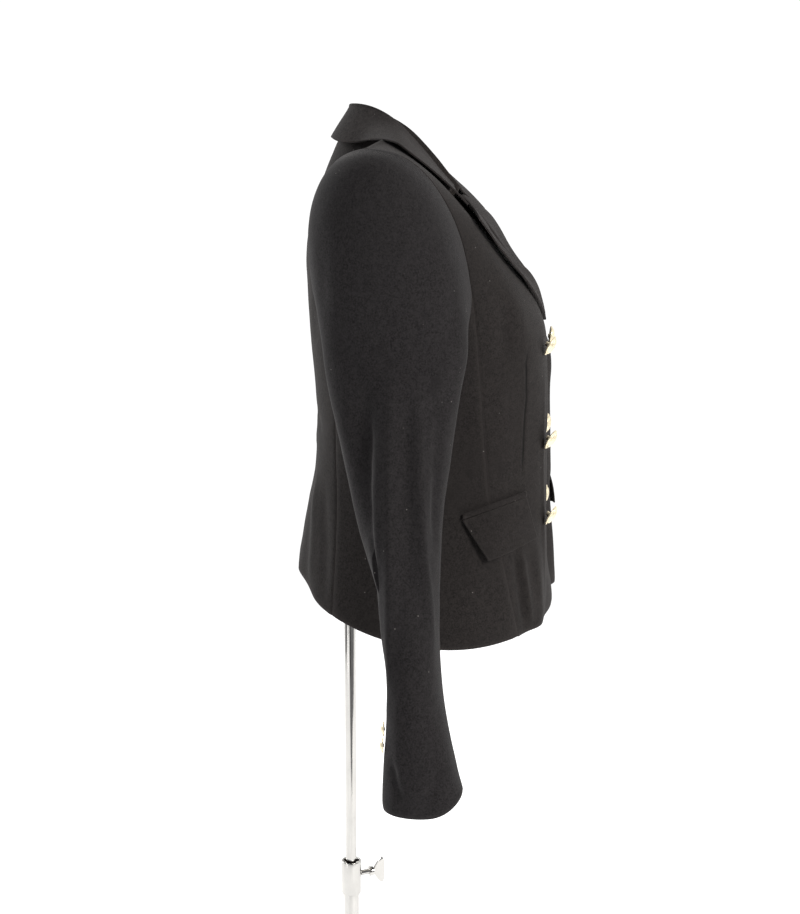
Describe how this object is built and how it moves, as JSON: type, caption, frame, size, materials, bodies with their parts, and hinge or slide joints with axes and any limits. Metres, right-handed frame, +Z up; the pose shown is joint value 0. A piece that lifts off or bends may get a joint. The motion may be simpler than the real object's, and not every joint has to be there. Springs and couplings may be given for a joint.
{
  "type": "double-breasted blazer on a limbless dress form and stand",
  "caption": "Cropped double-breasted wool blazer with notched lapels, flap pockets and domed buttons, worn by a limbless dress form on a telescoping pole stand.",
  "frame": {"origin": "centre of the base plate's underside, on the floor and on the pole's axis", "axes": "+Z up along the pole; the front of the blazer faces -Y; the wearer's right side is at -X"},
  "size_m": [0.6542, 0.3882, 1.4232],
  "materials": {
    "wool": "brushed twill wool, charcoal, matt with a short nap",
    "wool_lapel": "brushed twill wool, charcoal, matt with a short nap",
    "button_gold": "plain domed pale gold metal, polished",
    "form_jersey": "natural cream jersey, matt",
    "chrome": "polished",
    "base_steel": "brushed, radial"
  },
  "bodies": {
    "stand": {"base_plate": "base_steel", "base_socket": "chrome", "lower_tube": "chrome", "clamp_ring": "chrome"},
    "mast": {"mast": "chrome"},
    "dressed_form": {"back_right": "wool", "back_left": "wool", "side_right": "wool", "side_left": "wool", "front_right": "wool", "front_left": "wool", "lapel_right": "wool", "lapel_left": "wool", "collar": "wool_lapel", "sleeve_upper_right": "wool", "sleeve_upper_left": "wool", "sleeve_under_right": "wool", "sleeve_under_left": "wool", "pocket_welt_right": "wool", "pocket_welt_left": "wool", "pocket_flap_right": "wool", "pocket_flap_left": "wool", "button_a1": "button_gold", "button_a2": "button_gold", "button_a3": "button_gold", "button_b1": "button_gold", "button_b2": "button_gold", "button_b3": "button_gold", "cuff_button_right1": "button_gold", "cuff_button_right2": "button_gold", "cuff_button_left1": "button_gold", "cuff_button_left2": "button_gold", "form": "form_jersey"},
    "wing_screw": {"screw_shaft": "chrome", "screw_wing": "chrome"}
  },
  "joints": [
    {"name": "height_slide", "type": "slide", "parent": "stand", "child": "mast", "axis": [0, 0, 1], "range_m": [-0.2, 0.18]},
    {"name": "form_swivel", "type": "hinge", "parent": "mast", "child": "dressed_form", "pos_m": [0, 0, 1], "axis": [0, 0, 1], "continuous": true},
    {"name": "screw_turn", "type": "hinge", "parent": "stand", "child": "wing_screw", "pos_m": [0.0054, -0.01015, 0.582], "axis": [0.4695, -0.8829, 0], "continuous": true}
  ]
}
